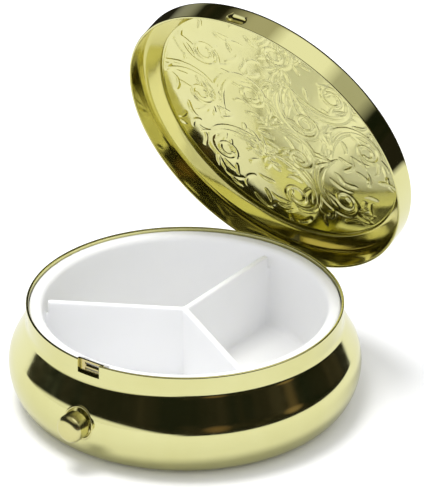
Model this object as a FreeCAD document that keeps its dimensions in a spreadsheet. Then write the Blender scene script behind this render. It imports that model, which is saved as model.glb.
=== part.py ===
import FreeCAD, Part
import math
import os
from types import SimpleNamespace

import Sketcher

# A round metal pill box: a bowl drawn in one piece with its neck, a three-part plastic tray, and
# a framed lid on a sprung hinge, held shut by a push-button latch.
#
# Frame: +Z up, origin at the middle of the flat bottom, the hinge at +Y and the button at -Y.
# Millimetres. The lid is drawn shut and then placed at its open stop, which is its rest pose.

DIMENSIONS = {
    # bowl and its neck
    "sheet": 0.4,
    "seam": 0.02,
    "foot_radius": 20.38,
    "foot_round": 4.03,
    "belly_radius": 25.05,
    "belly_height": 6.13,
    "belly_round": 6.03,
    "shoulder_slope": 28.2,
    "throat_round": 2.04,
    "neck_radius": 22.5,
    "neck_top": 15.3,
    "window_width": 3.7,
    "window_bottom": 13.28,
    # tray
    "flange_radius": 22.05,
    "flange_top": 14.85,
    "flange_thick": 0.9,
    "well_radius": 20.15,
    "well_floor": 3.2,
    "floor_thick": 1.0,
    "tray_wall": 0.55,
    "tray_draft": 0.95,
    "divider_top": 14.1,
    "divider_thick": 0.9,
    "relief_depth": 1.32,
    "relief_width": 5.2,
    "divider_root": 0.4,
    # lid
    "rim_height": 12.8,
    "lid_radius": 23.1,
    "lid_sheet": 0.35,
    "ledge_height": 15.45,
    "ledge_outer": 22.4,
    "ledge_inner": 20.2,
    "ledge_slope": 0.5625,
    "ring_thick": 0.34,
    "bezel_corner": 15.55,
    "bezel_round": 0.4,
    "bezel_inset": 0.25,
    "bezel_lip": 20.45,
    "panel_radius": 21.9,
    "field_radius": 20.0,
    "field_height": 17.05,
    "panel_bend": 20.15,
    "dome_rise": 0.35,
    "open_angle": 71,
    "catch_height": 13.9,
    "catch_half": 0.9,
    "catch_round": 0.6,
    "catch_reach": 22.1,
    # hinge
    "hinge_back": 23.0,
    "hinge_height": 9.55,
    "pin_radius": 0.4,
    "pin_gap": 0.03,
    "knuckle_radius": 0.72,
    "leaf_thick": 0.3,
    "leaf_width": 9.0,
    "leaf_top": 13.9,
    "tongue_width": 3.8,
    "tongue_top": 15.3,
    "coil_room": 2.1,
    "coil_clear": 1.65,
    "web_reach": 0.75,
    "heel_reach": 0.86,
    "slot_width": 9.8,
    "slot_bottom": 9.0,
    "slot_top": 12.0,
    # latch
    "latch_back": 21.3,
    "latch_height": 1.5,
    "latch_face": 21.93,
    "latch_thick": 0.3,
    "latch_width": 4.4,
    "latch_top": 15.2,
    "slit_left": 0.95,
    "slit_right": 1.95,
    "slit_height": 0.4,
    "slit_low": 13.7,
    "slit_high": 14.5,
    "bar_reach": 22.2,
    "bar_left": 0.7,
    "bar_right": 1.6,
    "bar_low": 14.25,
    "bar_inset": 0.03,
    "bracket_thick": 0.3,
    "bracket_width": 5.2,
    "bracket_back": 19.85,
    "bracket_front": 20.2,
    "ear_low": 0.95,
    "ear_rise": 0.8,
    "ear_reach": 0.65,
    "ear_root": 1.2,
    # button
    "button_height": 6.75,
    "button_radius": 2.05,
    "button_reach": 27.75,
    "button_seat": 25.0,
    "button_flat": 0.95,
    "button_dome": 0.85,
    "stem_radius": 1.2,
    "stem_end": 21.93,
    "stem_tip": 0.5,
    "stem_bevel": 0.25,
    "collar_bore": 2.25,
    "collar_radius": 2.55,
    "collar_proud": 0.15,
    "collar_back": 23.6,
    "collar_web": 0.3,
    "collar_slip": 0.05,
    "retainer_radius": 2.2,
    "retainer_front": 23.55,
    "retainer_thick": 0.4,
    # springs
    "wire_radius": 0.11,
    "coil_radius": 0.56,
    "coil_pitch": 0.24,
    "coil_turns": 7,
}

doc = FreeCAD.newDocument("PillBox")
sheet = doc.addObject("Spreadsheet::Sheet", "Sizes")
for row, (alias, number) in enumerate(DIMENSIONS.items(), 1):
    sheet.set(f"A{row}", alias)
    sheet.set(f"B{row}", str(number))
    sheet.setAlias(f"B{row}", alias)
doc.recompute()


class Size:
    """A length with the expression that gives it from the sheet's cells."""

    def __init__(self, value, text):
        self.value = value
        self.text = text

    def joined(self, other, sign, value):
        text = other.text if isinstance(other, Size) else str(other)
        return Size(value, f"({self.text} {sign} {text})")

    def __add__(self, other):
        return self.joined(other, "+", self.value + number_of(other))

    def __sub__(self, other):
        return self.joined(other, "-", self.value - number_of(other))

    def __mul__(self, other):
        return self.joined(other, "*", self.value * number_of(other))

    def __truediv__(self, other):
        return self.joined(other, "/", self.value / number_of(other))

    def __neg__(self):
        return Size(-self.value, f"(0 - {self.text})")


def number_of(size):
    return size.value if isinstance(size, Size) else size


def as_size(size):
    return size if isinstance(size, Size) else Size(size, str(size))


def root(size):
    return Size(math.sqrt(size.value), f"sqrt({size.text})")


def cosine(size):
    return Size(math.cos(math.radians(size.value)), f"cos({size.text} * 1 deg)")


def sine(size):
    return Size(math.sin(math.radians(size.value)), f"sin({size.text} * 1 deg)")


D = SimpleNamespace(**{name: Size(float(sheet.get(name)), f"Sizes.{name}") for name in DIMENSIONS})
pieces = []


def bind(thing, name, size):
    """Set a property and tie it to the sheet."""
    size = as_size(size)
    setattr(thing, name, size.value)
    if "Sizes." in size.text:
        thing.setExpression(name, size.text)


# ---------------------------------------------------------------- sketches and features


def new_body(label):
    body = doc.addObject("PartDesign::Body", label)
    body.Label = label
    pieces.append(body)
    return body


def plane_of(body, role):
    return next(f for f in body.Origin.OriginFeatures if f.Role == role)


def new_sketch(body, name, role):
    sketch = body.newObject("Sketcher::SketchObject", name)
    sketch.AttachmentSupport = [(plane_of(body, role), "")]
    sketch.MapMode = "FlatFace"
    return sketch


def fix(sketch, geometry, point, across, up):
    """Hold one point of a sketch at two sizes from the sketch's origin."""
    for kind, size in (("DistanceX", across), ("DistanceY", up)):
        if size is None:
            continue
        size = as_size(size)
        if abs(size.value) < 1e-9:
            axis = -2 if kind == "DistanceX" else -1
            sketch.addConstraint(Sketcher.Constraint("PointOnObject", geometry, point, axis))
            continue
        if size.value > 0:
            ends = (-1, 1, geometry, point)
        else:
            ends = (geometry, point, -1, 1)
            size = -size
        number = sketch.addConstraint(Sketcher.Constraint(kind, *ends, size.value))
        if "Sizes." in size.text:
            sketch.setExpression(f"Constraints[{number}]", size.text)


def fix_radius(sketch, geometry, size):
    size = as_size(size)
    number = sketch.addConstraint(Sketcher.Constraint("Radius", geometry, size.value))
    if "Sizes." in size.text:
        sketch.setExpression(f"Constraints[{number}]", size.text)


def outline(body, name, role, corners):
    """A closed outline of straight edges, each corner held at its two sizes."""
    sketch = new_sketch(body, name, role)
    places = [FreeCAD.Vector(number_of(x), number_of(y), 0) for x, y in corners]
    count = len(places)
    for n in range(count):
        sketch.addGeometry(Part.LineSegment(places[n], places[(n + 1) % count]), False)
    for n in range(count):
        sketch.addConstraint(Sketcher.Constraint("Coincident", n, 2, (n + 1) % count, 1))
    for n, (x, y) in enumerate(corners):
        fix(sketch, n, 1, x, y)
    return sketch


def round_hole(body, name, role, radius, up):
    """A circle on the sketch's vertical axis."""
    sketch = new_sketch(body, name, role)
    centre = FreeCAD.Vector(0, number_of(up), 0)
    sketch.addGeometry(Part.Circle(centre, FreeCAD.Vector(0, 0, 1), number_of(radius)), False)
    fix(sketch, 0, 3, 0, up)
    fix_radius(sketch, 0, radius)
    return sketch


def rectangle(body, name, role, left, right, low, high):
    return outline(body, name, role, [(left, low), (right, low), (right, high), (left, high)])


def lathe(body, name, sketch, kind="PartDesign::Revolution"):
    """Turn a sketch about its own vertical axis: a Revolution adds, a Groove cuts."""
    turned = body.newObject(kind, name)
    turned.Profile = sketch
    turned.ReferenceAxis = (sketch, ["V_Axis"])
    turned.Angle = 360
    body.Tip = turned
    return turned


def pad(body, name, sketch, length):
    """Thicken a sketch by half the length to each side of its plane."""
    grown = body.newObject("PartDesign::Pad", name)
    grown.Profile = sketch
    bind(grown, "Length", length)
    grown.Midplane = True
    body.Tip = grown
    return grown


def pocket(body, name, sketch, length, front=False):
    """Cut from the sketch's plane towards +Y, or with front towards -Y (for an XY plane, up)."""
    cut = body.newObject("PartDesign::Pocket", name)
    cut.Profile = sketch
    bind(cut, "Length", length)
    cut.Reversed = front
    body.Tip = cut
    return cut


def must_cut(body, before):
    """A pocket that points away from the solid cuts nothing, so its volume is compared."""
    doc.recompute()
    if not body.Shape.Volume < before - 1e-6:
        raise RuntimeError(f"{body.Label}: a cut removed nothing")
    return body.Shape.Volume


def volume_now(body):
    doc.recompute()
    return body.Shape.Volume


# ---------------------------------------------------------------- Part primitives


def block(name, left, right, front, back, low, high):
    box = doc.addObject("Part::Box", name)
    bind(box, "Length", as_size(right) - left)
    bind(box, "Width", as_size(back) - front)
    bind(box, "Height", as_size(high) - low)
    place(box, left, front, low)
    return box


def place(thing, x, y, z, rotation=None):
    """Put a primitive at a point, each coordinate tied to the sheet."""
    thing.Placement = FreeCAD.Placement(
        FreeCAD.Vector(number_of(x), number_of(y), number_of(z)),
        rotation or FreeCAD.Rotation(),
    )
    for axis, size in (("x", x), ("y", y), ("z", z)):
        if isinstance(size, Size):
            thing.setExpression(f"Placement.Base.{axis}", size.text)


ALONG_X = FreeCAD.Rotation(FreeCAD.Vector(0, 1, 0), 90)
ALONG_Y = FreeCAD.Rotation(FreeCAD.Vector(1, 0, 0), -90)


def rod(name, radius, length, x, y, z, rotation=None):
    cylinder = doc.addObject("Part::Cylinder", name)
    bind(cylinder, "Radius", radius)
    bind(cylinder, "Height", length)
    place(cylinder, x, y, z, rotation)
    return cylinder


def united(label, parts):
    joined = doc.addObject("Part::MultiFuse", label)
    joined.Shapes = parts
    joined.Refine = True
    return joined


def less(label, base, tool):
    cut = doc.addObject("Part::Cut", label)
    cut.Base = base
    cut.Tool = tool
    return cut


def shared(label, base, tool):
    common = doc.addObject("Part::Common", label)
    common.Base = base
    common.Tool = tool
    return common


def finished(thing, label):
    thing.Label = label
    pieces.append(thing)
    return thing


# ---------------------------------------------------------------- bowl


def bowl_outline(body, name, inset):
    """The bowl's side, moved inwards by inset: foot, belly, sloping shoulder, throat and neck."""
    belly_out = D.belly_radius - inset
    foot_arc = D.foot_round - inset
    across = D.belly_radius - D.foot_radius
    rise = D.belly_height - D.foot_round
    lower = (across * across + rise * rise - D.foot_round * D.foot_round) / (
        (across - D.foot_round) * 2
    )
    lower_x = D.belly_radius - lower
    belly_x = D.belly_radius - D.belly_round
    belly_arc = D.belly_round - inset
    throat_x = D.neck_radius + D.throat_round
    throat_arc = D.throat_round + inset
    rounds = D.belly_round + D.throat_round
    slope = D.shoulder_slope
    # the straight run between the belly's arc and the throat's
    run = D.belly_radius - D.neck_radius - rounds * (as_size(1) - cosine(slope))
    throat = D.belly_height + rounds * sine(slope) + run * cosine(slope) / sine(slope)
    neck = D.neck_radius - inset

    def vector(x, y):
        return FreeCAD.Vector(number_of(x), number_of(y), 0)

    def arc(x, y, radius, start, stop):
        circle = Part.Circle(vector(x, y), FreeCAD.Vector(0, 0, 1), number_of(radius))
        return Part.ArcOfCircle(circle, start, stop)

    low_turn = math.atan2(rise.value, D.foot_radius.value - lower_x.value)
    turn = math.radians(slope.value)
    side = FreeCAD.Vector(math.cos(turn), math.sin(turn), 0)
    shoulder = Part.LineSegment(
        vector(belly_x, D.belly_height) + side * belly_arc.value,
        vector(throat_x, throat) - side * throat_arc.value,
    )
    sketch = new_sketch(body, name, "XZ_Plane")
    sketch.addGeometry(
        [
            Part.LineSegment(vector(0, inset), vector(D.foot_radius, inset)),
            arc(D.foot_radius, D.foot_round, foot_arc, -math.pi / 2, -low_turn),
            arc(lower_x, D.belly_height, lower - inset, -low_turn, 0),
            arc(belly_x, D.belly_height, belly_arc, 0, turn),
            shoulder,
            arc(throat_x, throat, throat_arc, math.pi, math.pi + turn),
            Part.LineSegment(vector(neck, throat), vector(neck, D.neck_top)),
            Part.LineSegment(vector(neck, D.neck_top), vector(0, D.neck_top)),
            Part.LineSegment(vector(0, D.neck_top), vector(0, inset)),
        ],
        False,
    )
    count = sketch.GeometryCount
    # an arc runs anticlockwise, so the throat's starts at the neck
    ends = [(1, 2)] * count
    ends[5] = (2, 1)
    tangent = (1, 2, 3, 4)
    for n in range(count):
        after = (n + 1) % count
        kind = "Tangent" if n in tangent else "Coincident"
        sketch.addConstraint(Sketcher.Constraint(kind, n, ends[n][1], after, ends[after][0]))
    fix(sketch, 0, 1, 0, inset)
    fix(sketch, 0, 2, D.foot_radius, inset)
    fix(sketch, 1, 3, D.foot_radius, None)
    fix_radius(sketch, 1, foot_arc)
    fix(sketch, 2, 3, None, D.belly_height)
    fix(sketch, 2, 2, belly_out, D.belly_height)
    fix_radius(sketch, 3, belly_arc)
    fix(sketch, 5, 3, throat_x, throat)
    fix_radius(sketch, 5, throat_arc)
    fix(sketch, 5, 1, None, throat)
    fix(sketch, 6, 2, neck, D.neck_top)
    fix(sketch, 8, 1, 0, D.neck_top)
    return sketch


def make_base_bowl():
    body = new_body("base_bowl")
    lathe(body, "bowl_outside", bowl_outline(body, "bowl_outside_line", as_size(0)))
    before = volume_now(body)
    inside = bowl_outline(body, "bowl_inside_line", D.sheet)
    lathe(body, "bowl_inside", inside, "PartDesign::Groove")
    before = must_cut(body, before)
    hole = round_hole(
        body, "button_hole_line", "XZ_Plane", D.collar_radius, D.button_height
    )
    pocket(body, "button_hole", hole, D.belly_radius * 2, front=True)
    before = must_cut(body, before)
    half = D.slot_width / 2
    slot = rectangle(
        body, "hinge_slot_line", "XZ_Plane", -half, half, D.slot_bottom, D.slot_top
    )
    pocket(body, "hinge_slot", slot, D.belly_radius * 2)
    before = must_cut(body, before)
    half = D.window_width / 2
    window = rectangle(
        body, "window_line", "XZ_Plane", -half, half, D.window_bottom, D.neck_top + 1
    )
    pocket(body, "latch_window", window, D.neck_radius * 2, front=True)
    must_cut(body, before)


# ---------------------------------------------------------------- tray


def make_pill_tray():
    body = new_body("pill_tray")
    top = D.flange_top
    under = top - D.flange_thick
    bottom = D.well_floor - D.floor_thick
    deep = D.well_radius - D.tray_draft
    skirt = deep + D.tray_wall
    section = outline(
        body,
        "tray_line",
        "XZ_Plane",
        [
            (0, bottom),
            (deep, bottom),
            (deep, D.sheet),
            (skirt, D.sheet),
            (D.well_radius + D.tray_wall, under),
            (D.flange_radius, under),
            (D.flange_radius, top),
            (D.well_radius, top),
            (deep, D.well_floor),
            (0, D.well_floor),
        ],
    )
    lathe(body, "tray_well", section)
    before = volume_now(body)
    # a divider follows the wall's draft and ends inside it
    bite = D.tray_wall / 2
    wall = outline(
        body,
        "divider_line",
        "YZ_Plane",
        [
            (0, D.well_floor - D.divider_root),
            (deep + bite, D.well_floor - D.divider_root),
            (D.well_radius + bite, D.divider_top),
            (0, D.divider_top),
        ],
    )
    divider = pad(body, "divider", wall, D.divider_thick)
    dividers = body.newObject("PartDesign::PolarPattern", "dividers")
    dividers.Originals = [divider]
    dividers.Axis = (section, ["V_Axis"])
    dividers.Angle = 360
    dividers.Occurrences = 3
    body.Tip = dividers
    if not volume_now(body) > before + 1:
        raise RuntimeError("pill_tray: the dividers added nothing")
    before = body.Shape.Volume
    side = D.relief_width / 2
    reach = D.flange_radius - D.relief_depth
    relief = rectangle(body, "relief_line", "XY_Plane", -side, side, -D.neck_radius, -reach)
    pocket(body, "latch_relief", relief, D.neck_top, front=True)
    must_cut(body, before)


# ---------------------------------------------------------------- lid, drawn shut


def ledge_at(radius, above):
    """The height of the lid's sloping ledge at a radius, so far above its lower face."""
    return D.ledge_height + (D.ledge_outer - radius) * D.ledge_slope + above


def open_lid(thing):
    """Swing a lid piece from shut to the open stop."""
    thing.Placement = FreeCAD.Placement(
        FreeCAD.Vector(),
        FreeCAD.Rotation(FreeCAD.Vector(1, 0, 0), -D.open_angle.value),
        FreeCAD.Vector(0, D.hinge_back.value, D.hinge_height.value),
    )


def make_lid_bezel():
    body = new_body("lid_bezel")
    inner = D.lid_radius - D.lid_sheet
    lip_low = D.ring_thick * 2 + D.seam * 2
    turn_in = inner - D.bezel_inset
    lip_high = lip_low + D.lid_sheet
    line = outline(
        body,
        "bezel_line",
        "XZ_Plane",
        [
            (inner, D.rim_height),
            (D.lid_radius, D.rim_height),
            (D.lid_radius, D.bezel_corner),
            (D.lid_radius - D.bezel_round / 4, D.bezel_corner + D.bezel_round),
            (D.lid_radius - D.bezel_round, D.bezel_corner + D.bezel_round * 1.9),
            (D.bezel_lip, ledge_at(D.bezel_lip, lip_high)),
            (D.bezel_lip, ledge_at(D.bezel_lip, lip_low)),
            (turn_in, ledge_at(turn_in, lip_low)),
            (inner, D.bezel_corner + D.bezel_round / 2),
        ],
    )
    lathe(body, "bezel_ring", line)
    before = volume_now(body)
    half = D.tongue_width / 2 + D.seam
    top = D.tongue_top + D.seam
    notch = rectangle(body, "tongue_notch_line", "XZ_Plane", -half, half, 0, top)
    pocket(body, "tongue_notch", notch, D.lid_radius * 2)
    must_cut(body, before)
    return body


def oval(name, radius, back):
    """A rod with round ends, across the front at the catch's height."""
    parts = [
        rod(f"{name}_bar", radius, D.catch_half * 2, -D.catch_half, -back, D.catch_height, ALONG_X)
    ]
    for side, x in (("left", -D.catch_half), ("right", D.catch_half)):
        ball = doc.addObject("Part::Sphere", f"{name}_{side}")
        bind(ball, "Radius", radius)
        place(ball, x, -back, D.catch_height)
        parts.append(ball)
    return united(f"{name}_whole", parts)


def make_catch(bezel):
    """The oval dimple in the front of the bezel's wall, which hooks under the latch bar."""
    centre = D.catch_reach + D.catch_round
    inside = rod("catch_inside", D.lid_radius - D.seam, 10, 0, 0, D.rim_height - 3)
    dimple = shared("catch_dimple", oval("catch", D.catch_round, centre), inside)
    solid = united("bezel_with_dimple", [bezel, dimple])
    bore = D.catch_round - D.lid_sheet
    hollow = oval("catch_hollow", bore, centre + D.seam)
    narrow = bore - D.seam * 2
    mouth = block(
        "catch_mouth",
        -D.catch_half,
        D.catch_half,
        -centre - 3,
        -centre,
        D.catch_height - narrow,
        D.catch_height + narrow,
    )
    return less("bezel_hollowed", less("bezel_cut", solid, hollow), mouth)


def make_lid_panel():
    body = new_body("lid_panel")
    low = D.ring_thick + D.seam
    high = low + D.ring_thick
    sketch = new_sketch(body, "panel_line", "XZ_Plane")
    edge_in = D.field_height
    edge_out = D.field_height + D.ring_thick
    corners = [
        (0, D.field_height + D.dome_rise),
        (D.field_radius, edge_in),
        (D.panel_bend, ledge_at(D.panel_bend, low)),
        (D.panel_radius, ledge_at(D.panel_radius, low)),
        (D.panel_radius, ledge_at(D.panel_radius, high)),
        (D.panel_bend, ledge_at(D.panel_bend, high)),
        (D.field_radius, edge_out),
        (0, edge_out + D.dome_rise),
    ]
    rounded = (0, 6)
    radius = (D.field_radius * D.field_radius + D.dome_rise * D.dome_rise) / (D.dome_rise * 2)
    count = len(corners)
    for n in range(count):
        x0, y0 = (number_of(v) for v in corners[n])
        x1, y1 = (number_of(v) for v in corners[(n + 1) % count])
        start = FreeCAD.Vector(x0, y0, 0)
        stop = FreeCAD.Vector(x1, y1, 0)
        if n in rounded:
            peak = max(y0, y1)
            circle = Part.Circle(
                FreeCAD.Vector(0, peak - radius.value, 0), FreeCAD.Vector(0, 0, 1), radius.value
            )
            side = math.asin(D.field_radius.value / radius.value)
            edge = Part.ArcOfCircle(circle, math.pi / 2 - side, math.pi / 2)
        else:
            edge = Part.LineSegment(start, stop)
        sketch.addGeometry(edge, False)
    # an arc runs anticlockwise, so the lower one starts at the field's edge
    ends = [(2, 1)] + [(1, 2)] * (count - 1)
    for n in range(count):
        after = (n + 1) % count
        meeting = (n, ends[n][1], after, ends[after][0])
        sketch.addConstraint(Sketcher.Constraint("Coincident", *meeting))
    for n, (x, y) in enumerate(corners):
        fix(sketch, n, ends[n][0], x, y)
    for n in rounded:
        fix_radius(sketch, n, radius)
    lathe(body, "panel_disc", sketch)
    return body


def make_lid_inner_ring():
    body = new_body("lid_inner_ring")
    outer = D.lid_radius - D.lid_sheet
    line = outline(
        body,
        "ring_line",
        "XZ_Plane",
        [
            (D.ledge_inner, ledge_at(D.ledge_inner, 0)),
            (D.ledge_outer, D.ledge_height),
            (outer, D.ledge_height),
            (outer, D.ledge_height + D.ring_thick - 0.05),
            (D.ledge_outer, D.ledge_height + D.ring_thick),
            (D.ledge_inner, ledge_at(D.ledge_inner, D.ring_thick)),
        ],
    )
    lathe(body, "ring_dish", line)
    return body


# ---------------------------------------------------------------- hinge


def tube(name, radius, bore, length, x, y, z):
    """A knuckle: a tube along X, from x onwards."""
    outside = rod(f"{name}_outside", radius, length, x, y, z, ALONG_X)
    inside = rod(f"{name}_bore", bore, as_size(length) + 0.4, as_size(x) - 0.2, y, z, ALONG_X)
    return less(name, outside, inside)


BORE = D.pin_radius + D.pin_gap
KNUCKLE_GAP = 0.1


def make_hinge_body_leaf():
    half = D.leaf_width / 2
    outer = D.neck_radius - D.sheet
    low = D.hinge_height - D.knuckle_radius
    ring = less(
        "leaf_ring",
        rod("leaf_ring_outside", outer, D.leaf_top - low, 0, 0, low),
        rod("leaf_ring_inside", outer - D.leaf_thick, D.leaf_top - low, 0, 0, low),
    )
    plate = shared(
        "leaf_plate", ring, block("leaf_side", -half, half, 10, outer, low, D.leaf_top)
    )
    inner = D.tongue_width / 2 + KNUCKLE_GAP
    parts = [plate]
    for side, left in (("left", -half), ("right", inner)):
        right = as_size(left) + half - inner
        web = block(
            f"web_{side}", left, right, outer - D.web_reach, D.hinge_back, low, low + D.leaf_thick
        )
        parts.append(web)
        parts.append(
            tube(
                f"body_knuckle_{side}",
                D.knuckle_radius,
                BORE,
                half - inner,
                left,
                D.hinge_back,
                D.hinge_height,
            )
        )
    whole = united("body_leaf_whole", parts)
    bore = rod(
        "body_leaf_bore",
        BORE,
        D.leaf_width + 1,
        -half - 0.5,
        D.hinge_back,
        D.hinge_height,
        ALONG_X,
    )
    finished(less("body_leaf_bored", whole, bore), "hinge_body_leaf")


def make_hinge_lid_leaf():
    half = D.tongue_width / 2
    room = D.coil_room / 2
    front = D.lid_radius - D.lid_sheet
    plate = block(
        "tongue", -half, half, front, front + D.leaf_thick, D.hinge_height + 0.2, D.tongue_top
    )
    parts = [plate]
    for side, left in (("left", -half), ("right", room)):
        parts.append(
            tube(
                f"lid_knuckle_{side}",
                D.knuckle_radius,
                BORE,
                half - room,
                left,
                D.hinge_back,
                D.hinge_height,
            )
        )
        parts.append(
            block(
                f"heel_{side}",
                left,
                as_size(left) + half - room,
                D.hinge_back - D.leaf_thick / 2,
                D.hinge_back + D.leaf_thick / 2,
                D.hinge_height - D.heel_reach,
                D.hinge_height,
            )
        )
    whole = united("lid_leaf_whole", parts)
    bore = rod(
        "lid_leaf_bore", BORE, D.leaf_width, -half - 0.5, D.hinge_back, D.hinge_height, ALONG_X
    )
    window = block(
        "coil_window",
        -room,
        room,
        D.hinge_back - 1,
        D.hinge_back + 1,
        D.hinge_height - 1,
        D.hinge_height + D.coil_clear,
    )
    leaf = less("lid_leaf_cut", less("lid_leaf_bored", whole, bore), window)
    open_lid(finished(leaf, "hinge_lid_leaf"))


def make_hinge_pin():
    length = D.leaf_width + 0.3
    pin = rod(
        "hinge_pin_rod",
        D.pin_radius,
        length,
        -length / 2,
        D.hinge_back,
        D.hinge_height,
        ALONG_X,
    )
    finished(pin, "hinge_pin")


def coil_spring(label, y, z, first, second):
    """A torsion spring about an axis along X, with a straight leg at each end.

    first and second are each leg's direction in the YZ plane, in degrees from +Y, and its length.
    """
    radius = D.coil_radius.value
    wire = D.wire_radius.value
    length = D.coil_pitch.value * D.coil_turns.value
    helix = Part.makeHelix(D.coil_pitch.value, length, radius)
    helix.rotate(FreeCAD.Vector(), FreeCAD.Vector(0, 1, 0), 90)
    helix.translate(FreeCAD.Vector(-length / 2, y, z))
    start = helix.Edges[0].valueAt(helix.Edges[0].FirstParameter)
    stop = helix.Edges[-1].valueAt(helix.Edges[-1].LastParameter)
    axis = FreeCAD.Vector(0, y, z)
    solids = []
    section = Part.Wire(Part.makeCircle(wire, start, FreeCAD.Vector(0, start.z - z, y - start.y)))
    sweep = Part.Wire(helix.Edges).makePipeShell([section], True, True)
    solids.append(sweep)
    # half a pitch in from its end, a leg meets the coil's last turn whichever way it points
    inset = D.coil_pitch.value / 2
    for x, (angle, reach) in ((start.x + inset, first), (stop.x - inset, second)):
        turn = math.radians(angle)
        along = FreeCAD.Vector(0, math.cos(turn), math.sin(turn))
        side = FreeCAD.Vector(0, math.sin(turn), -math.cos(turn)) * radius
        root_point = FreeCAD.Vector(x, axis.y, axis.z) + side
        leg = Part.makeCylinder(wire, reach, root_point, along)
        solids.append(leg)
    spring = doc.addObject("Part::Feature", label)
    whole = solids[0].fuse(solids[1:])
    spring.Shape = whole
    return finished(spring, label)


def make_hinge_spring():
    spring = coil_spring(
        "hinge_spring", D.hinge_back.value, D.hinge_height.value, (251, 0.7), (105, 1.35)
    )
    open_lid(spring)


# ---------------------------------------------------------------- latch


def make_latch_plate():
    half = D.latch_width / 2
    room = D.coil_room / 2
    inner = D.latch_face - D.latch_thick
    parts = [
        block("blade", -half, half, -D.latch_face, -inner, D.latch_height + 0.3, D.latch_top)
    ]
    for side, left in (("left", -half), ("right", room)):
        parts.append(
            tube(
                f"latch_eye_{side}",
                D.knuckle_radius,
                BORE,
                half - room,
                left,
                -D.latch_back,
                D.latch_height,
            )
        )
    parts.append(
        block(
            "catch_bar",
            -D.bar_left,
            D.bar_right,
            -D.bar_reach,
            -inner,
            D.bar_low,
            D.slit_high - D.bar_inset,
        )
    )
    whole = united("latch_whole", parts)
    cuts = [
        rod("latch_bore", BORE, 8, -4, -D.latch_back, D.latch_height, ALONG_X),
        block("latch_coil_window", -room, room, -23, -20, 0, D.latch_height + D.coil_clear),
    ]
    for name, low in (("low", D.slit_low), ("high", D.slit_high)):
        cuts.append(
            block(
                f"slit_{name}",
                -D.slit_left,
                D.slit_right,
                -D.latch_face - 0.1,
                -inner + 0.1,
                low,
                low + D.slit_height,
            )
        )
    finished(less("latch_cut", whole, united("latch_cuts", cuts)), "latch_plate")


def make_latch_bracket():
    half = D.bracket_width / 2
    high = D.latch_height + D.ear_rise
    deep = D.latch_back + D.ear_reach
    parts = [
        block(
            "bracket_floor",
            -half,
            half,
            -D.bracket_front,
            -D.bracket_back,
            D.sheet,
            D.sheet + D.bracket_thick,
        )
    ]
    for side, left in (("left", -half), ("right", half - D.bracket_thick)):
        right = as_size(left) + D.bracket_thick
        parts.append(block(f"ear_{side}", left, right, -deep, -D.bracket_back, D.ear_low, high))
        foot = block(
            f"ear_root_{side}",
            left,
            right,
            -D.bracket_front,
            -D.bracket_back,
            D.sheet,
            D.ear_root,
        )
        parts.append(foot)
    whole = united("bracket_whole", parts)
    bore = rod(
        "bracket_bore", D.pin_radius, 8, -4, -D.latch_back, D.latch_height, ALONG_X
    )
    finished(less("bracket_bored", whole, bore), "latch_bracket")


def make_latch_pin():
    pin = rod(
        "latch_pin_rod",
        D.pin_radius,
        D.bracket_width + 0.1,
        -D.bracket_width / 2 - 0.05,
        -D.latch_back,
        D.latch_height,
        ALONG_X,
    )
    finished(pin, "latch_pin")


def make_latch_spring():
    coil_spring("latch_spring", -D.latch_back.value, D.latch_height.value, (112, 1.9), (5, 1.3))


# ---------------------------------------------------------------- button


def make_push_button():
    body = new_body("push_button")
    head = D.button_radius
    facets = 6
    nose = []
    for n in range(facets + 1):
        turn = as_size(90 * n / facets)
        out = D.button_flat + (head - D.button_flat) * cosine(turn)
        nose.append((out, D.button_reach - D.button_dome + D.button_dome * sine(turn)))
    # the button is turned about its own axis, then laid along Y
    line = outline(
        body,
        "button_line",
        "XZ_Plane",
        [
            (0, D.stem_end),
            (D.stem_tip, D.stem_end),
            (D.stem_radius, D.stem_end + D.stem_bevel),
            (D.stem_radius, D.button_seat),
            (head, D.button_seat),
            *nose,
            (0, D.button_reach),
        ],
    )
    lathe(body, "button_turned", line)
    lay_forward(body)


def lay_forward(body):
    """Turn a piece made along Z so that it points to -Y at the button's height."""
    body.Placement = FreeCAD.Placement(
        FreeCAD.Vector(0, 0, D.button_height.value),
        FreeCAD.Rotation(FreeCAD.Vector(1, 0, 0), 90),
    )


def make_button_retainer():
    body = new_body("button_retainer")
    front = D.retainer_front
    line = rectangle(
        body,
        "retainer_line",
        "XZ_Plane",
        D.stem_radius,
        D.retainer_radius,
        front - D.retainer_thick,
        front,
    )
    lathe(body, "retainer_washer", line)
    lay_forward(body)


def make_button_collar():
    body = new_body("collar_skin")
    pieces.pop()
    lathe(body, "collar_skin_turned", bowl_outline(body, "collar_skin_line", -D.collar_proud))
    length = D.belly_radius + 1 - D.collar_back
    tube_outside = rod(
        "collar_outside",
        D.collar_radius,
        length,
        0,
        -D.belly_radius - 1,
        D.button_height,
        ALONG_Y,
    )
    bore = rod(
        "collar_bore_rod",
        D.collar_bore,
        length - D.collar_web,
        0,
        -D.belly_radius - 1,
        D.button_height,
        ALONG_Y,
    )
    guide = rod(
        "collar_guide",
        D.stem_radius + D.collar_slip,
        length + 1,
        0,
        -D.belly_radius - 1,
        D.button_height,
        ALONG_Y,
    )
    ring = less("collar_ring", less("collar_cup", tube_outside, bore), guide)
    finished(shared("collar_trimmed", ring, body), "button_collar")


# ---------------------------------------------------------------- build, check, write

make_base_bowl()
make_pill_tray()
bezel = make_lid_bezel()
pieces.remove(bezel)
bezel.Label = "bezel_turned"
open_lid(finished(make_catch(bezel), "lid_bezel"))
open_lid(make_lid_panel())
open_lid(make_lid_inner_ring())
make_hinge_body_leaf()
make_hinge_lid_leaf()
make_hinge_pin()
make_hinge_spring()
make_latch_plate()
make_latch_bracket()
make_latch_pin()
make_latch_spring()
make_push_button()
make_button_retainer()
make_button_collar()
doc.recompute()

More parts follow.
